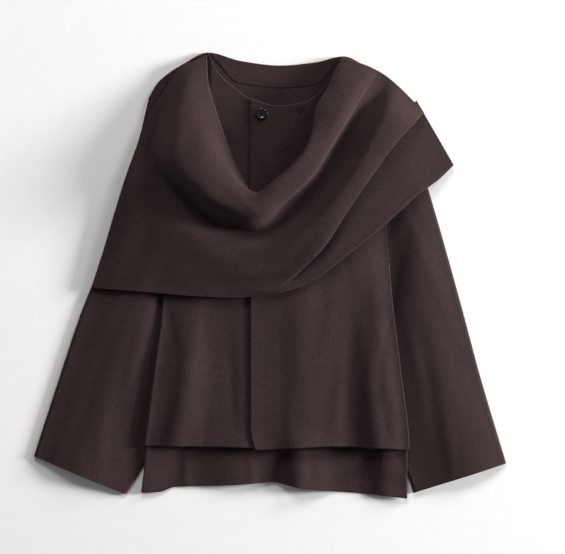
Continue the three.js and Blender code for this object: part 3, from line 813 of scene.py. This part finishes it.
def felted_wool():
    """Double-faced wool, woven, felted and cropped: matt, with a short nap that is paler at its edges, where
    a painted highlight also stands for light caught by the edge fuzz.
    """
    finish, tree = finish_named("felted_wool")
    where = add(tree, "ShaderNodeTexCoord").outputs["Object"]
    grain, link = "ShaderNodeTexNoise", {"Vector": where}
    nap = add(tree, grain, link, scale=grains(NAP), detail=2.0, roughness=0.6)
    tufts = add(tree, grain, link, scale=grains(TUFTS), detail=2.0, roughness=0.5)
    mottle = add(tree, grain, link, scale=grains(MOTTLE), detail=1.0, roughness=0.4)
    fine = weighted(tree, nap.outputs["Fac"], tufts.outputs["Fac"], TUFTS_SHARE)
    mixed = weighted(tree, fine, mottle.outputs["Fac"], MOTTLE_SHARE)
    spread = add(tree, "ShaderNodeMath", {0: mixed}, operation="DIVIDE")
    spread.inputs[1].default_value = 1 + TUFTS_SHARE + MOTTLE_SHARE
    colours = add(tree, "ShaderNodeValToRGB", {"Fac": spread.outputs[0]})
    colours.color_ramp.elements[0].position = 0.34
    colours.color_ramp.elements[0].color = linear("#201516")
    colours.color_ramp.elements[1].position = 0.66
    colours.color_ramp.elements[1].color = linear("#3b2929")
    bump = add(tree, "ShaderNodeBump", {"Height": fine}, strength=0.5, distance=0.4 * MM)
    # Raw edges turn paler: frayed nap, plus a painted highlight for light caught by their fuzz.
    edge = add(tree, "ShaderNodeAttribute", attribute_name="fray_highlight_edge")
    links = {0: edge.outputs["Fac"], 1: nap.outputs["Fac"]}
    fray_and_highlight = add(tree, "ShaderNodeMath", links, operation="MULTIPLY")
    links = {"Factor": fray_and_highlight.outputs[0], "A": colours.outputs["Color"]}
    paled_and_highlit = add(tree, "ShaderNodeMix", links, data_type="RGBA")
    paled_and_highlit.inputs["B"].default_value = linear("#4d3a38")
    # Painted shade: a soft dark triangle below the neckline.
    flat = add(tree, "ShaderNodeAttribute", attribute_name="painted_notch_shade")
    links = {"Factor": flat.outputs["Fac"], "A": paled_and_highlit.outputs["Result"]}
    notch_shaded = add(tree, "ShaderNodeMix", links, data_type="RGBA")
    notch_shaded.inputs["B"].default_value = linear("#150e0e")
    links = {"Base Color": notch_shaded.outputs["Result"], "Normal": bump.outputs["Normal"]}
    shader = add(tree, "ShaderNodeBsdfPrincipled", links)
    shader.inputs["Roughness"].default_value = 0.92
    shader.inputs["IOR"].default_value = 1.54
    shader.inputs["Specular IOR Level"].default_value = 0.25
    shader.inputs["Sheen Weight"].default_value = 0.22
    shader.inputs["Sheen Roughness"].default_value = 0.45
    shader.inputs["Sheen Tint"].default_value = linear("#b49b96")
    add(tree, "ShaderNodeOutputMaterial", {"Surface": shader.outputs[0]})
    return finish


def sewing_thread():
    """Spun polyester thread, two plies, darker than the cloth and sunk into its nap."""
    finish, tree = finish_named("sewing_thread")
    where = add(tree, "ShaderNodeTexCoord").outputs["Object"]
    plies = add(tree, "ShaderNodeTexNoise", {"Vector": where}, scale=grains(STITCH["thick"]), detail=1.0)
    colours = add(tree, "ShaderNodeValToRGB", {"Fac": plies.outputs["Fac"]})
    colours.color_ramp.elements[0].color = linear("#1c1213")
    colours.color_ramp.elements[1].color = linear("#332325")
    shader = add(tree, "ShaderNodeBsdfPrincipled", {"Base Color": colours.outputs["Color"]})
    shader.inputs["Roughness"].default_value = 0.6
    shader.inputs["IOR"].default_value = 1.54
    add(tree, "ShaderNodeOutputMaterial", {"Surface": shader.outputs[0]})
    return finish


def polished_horn():
    """Cast resin like dark horn, tumbled to a gloss: nearly black, with small clear highlights."""
    finish, tree = finish_named("polished_horn_resin")
    where = add(tree, "ShaderNodeTexCoord").outputs["Object"]
    streaks = add(tree, "ShaderNodeTexNoise", {"Vector": where}, scale=grains(6), detail=4.0, distortion=1.2)
    colours = add(tree, "ShaderNodeValToRGB", {"Fac": streaks.outputs["Fac"]})
    colours.color_ramp.elements[0].color = linear("#080605")
    colours.color_ramp.elements[1].color = linear("#171110")
    shader = add(tree, "ShaderNodeBsdfPrincipled", {"Base Color": colours.outputs["Color"]})
    shader.inputs["Roughness"].default_value = 0.22
    shader.inputs["IOR"].default_value = 1.56
    add(tree, "ShaderNodeOutputMaterial", {"Surface": shader.outputs[0]})
    return finish


def studio():
    """A pale floor, low soft lights from the right and the upper right, one from above, and an even fill."""
    finish, tree = finish_named("pale_studio_floor")
    where = add(tree, "ShaderNodeTexCoord").outputs["Object"]
    grain = add(tree, "ShaderNodeTexNoise", {"Vector": where}, scale=grains(25), detail=3.0)
    colours = add(tree, "ShaderNodeValToRGB", {"Fac": grain.outputs["Fac"]})
    colours.color_ramp.elements[0].color = linear("#f6f5f3")
    colours.color_ramp.elements[1].color = linear("#fbfaf8")
    shader = add(tree, "ShaderNodeBsdfPrincipled", {"Base Color": colours.outputs["Color"]})
    shader.inputs["Roughness"].default_value = 0.9
    add(tree, "ShaderNodeOutputMaterial", {"Surface": shader.outputs[0]})
    mesh = bpy.data.meshes.new("floor")
    corners = [(x * FLOOR_HALF, y * FLOOR_HALF, FLOOR_Z) for x, y in ((-1, -1), (1, -1), (1, 1), (-1, 1))]
    mesh.from_pydata(corners, [], [(0, 1, 2, 3)])
    mesh.materials.append(finish)
    floor = bpy.data.objects.new("floor", mesh)
    bpy.context.scene.collection.objects.link(floor)

    world = bpy.data.worlds.new("studio")
    world.use_nodes = True
    world.node_tree.nodes["Background"].inputs["Color"].default_value = linear("#ffffff")
    world.node_tree.nodes["Background"].inputs["Strength"].default_value = FILL
    bpy.context.scene.world = world
    for name, place, size, power in LAMPS:
        lamp(name, place, size, power)


def lamp(name, place, size, power):
    """A square soft light that faces the origin."""
    light = bpy.data.lights.new(name, "AREA")
    light.shape = "SQUARE"
    light.size = size
    light.energy = power
    holder = bpy.data.objects.new(name, light)
    holder.location = place
    aim = -holder.location
    holder.rotation_mode = "QUATERNION"
    holder.rotation_quaternion = aim.to_track_quat("-Z", "Y")
    bpy.context.scene.collection.objects.link(holder)


def camera():
    """Looks straight down, so that one pixel of the picture spans PIXEL at the surface."""
    data = bpy.data.cameras.new("camera")
    data.sensor_width = SENSOR
    data.lens = SENSOR * CAMERA_HEIGHT / (FRAME_PIXELS[0] * PIXEL * MM)
    data.clip_start, data.clip_end = 0.1, 20
    holder = bpy.data.objects.new("camera", data)
    x = (FRAME_PIXELS[0] / 2 - ORIGIN_PIXEL[0]) * PIXEL * MM
    y = (ORIGIN_PIXEL[1] - FRAME_PIXELS[1] / 2) * PIXEL * MM
    holder.location = (x, y, CAMERA_HEIGHT)
    bpy.context.scene.collection.objects.link(holder)
    bpy.context.scene.camera = holder


def jacket():
    wool = felted_wool()
    pieces = {
        "back_panel": back_panel(wool),
        "back_neck_facing": neck_facing(wool),
        "right_front": right_front(wool),
        "left_front": left_front(wool),
        "right_sleeve": sleeve("right_sleeve", wool),
        "left_sleeve": sleeve("left_sleeve", wool),
        "scarf": scarf(wool),
        "button": button(polished_horn()),
    }
    for node, piece in pieces.items():
        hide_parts(node)
    thread = sewing_thread()
    fronts = [pieces["right_front"], pieces["left_front"]]
    sewing("neckline_stitches", offset_line(front_neck, **NECK_STITCHES), fronts, thread)
    sewing("right_front_seam_stitches", RIGHT_FRONT_SEAM, fronts, thread)
    sewing("left_front_seam_stitches", LEFT_FRONT_SEAM, fronts, thread)


camera()
jacket()
studio()
bpy.context.scene.view_settings.view_transform = "Standard"  # keeps the dark wool's own contrast
